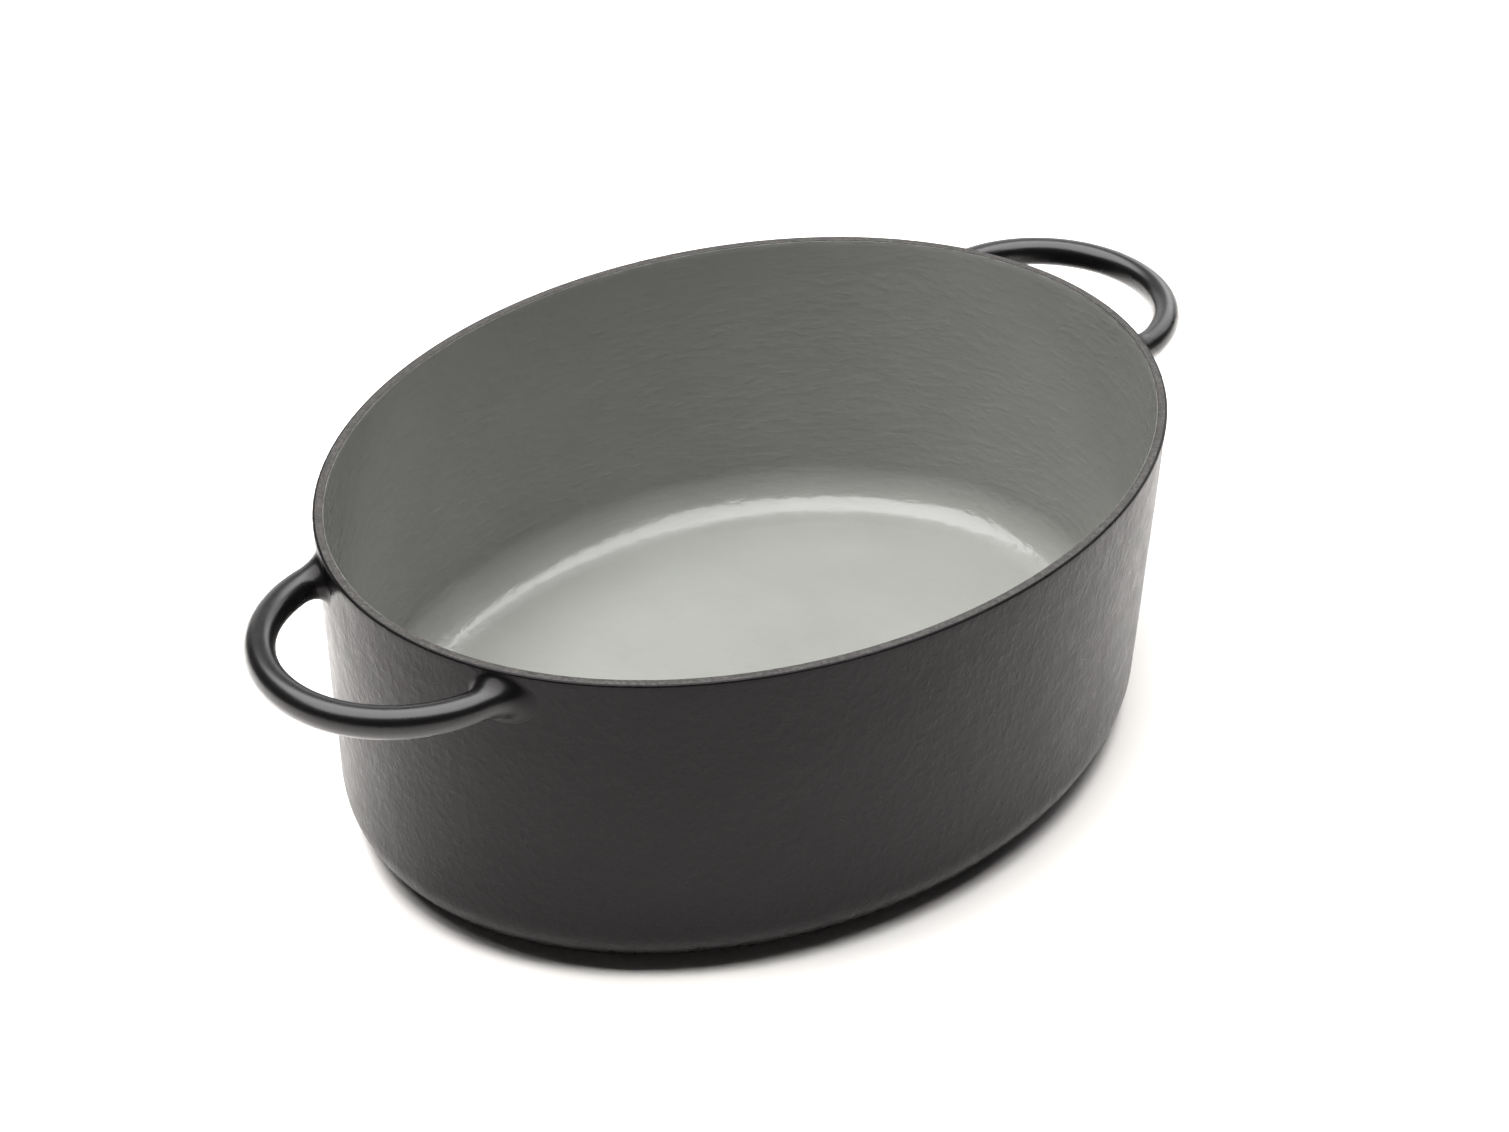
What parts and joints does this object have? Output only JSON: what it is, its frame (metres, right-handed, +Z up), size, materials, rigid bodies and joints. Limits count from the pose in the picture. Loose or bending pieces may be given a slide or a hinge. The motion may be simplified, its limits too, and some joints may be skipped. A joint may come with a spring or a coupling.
{
  "type": "oval dutch oven pot",
  "caption": "Deep oval cooking pot of enamelled cast iron with a flat ground rim for a lid, a grey lining and a cast loop handle at each end.",
  "frame": {"origin": "centre of the flat base, on the surface the pot stands on", "axes": "+Z up, towards the mouth; +X along the oval towards the right handle; +Y across the oval"},
  "size_m": [0.3888, 0.239, 0.116],
  "materials": {
    "iron": "ground bare at the rim and at the flat of the base, fine grained",
    "black_enamel": "satin black enamel over a lightly dimpled casting",
    "grey_enamel": "smooth gloss grey enamel",
    "handle_black": "satin black enamel over cast iron, with a faint parting line"
  },
  "bodies": {
    "root": {"pot_body": "iron", "exterior_enamel": "black_enamel", "enamel_lining": "grey_enamel", "left_handle": "handle_black", "right_handle": "handle_black"}
  },
  "joints": []
}
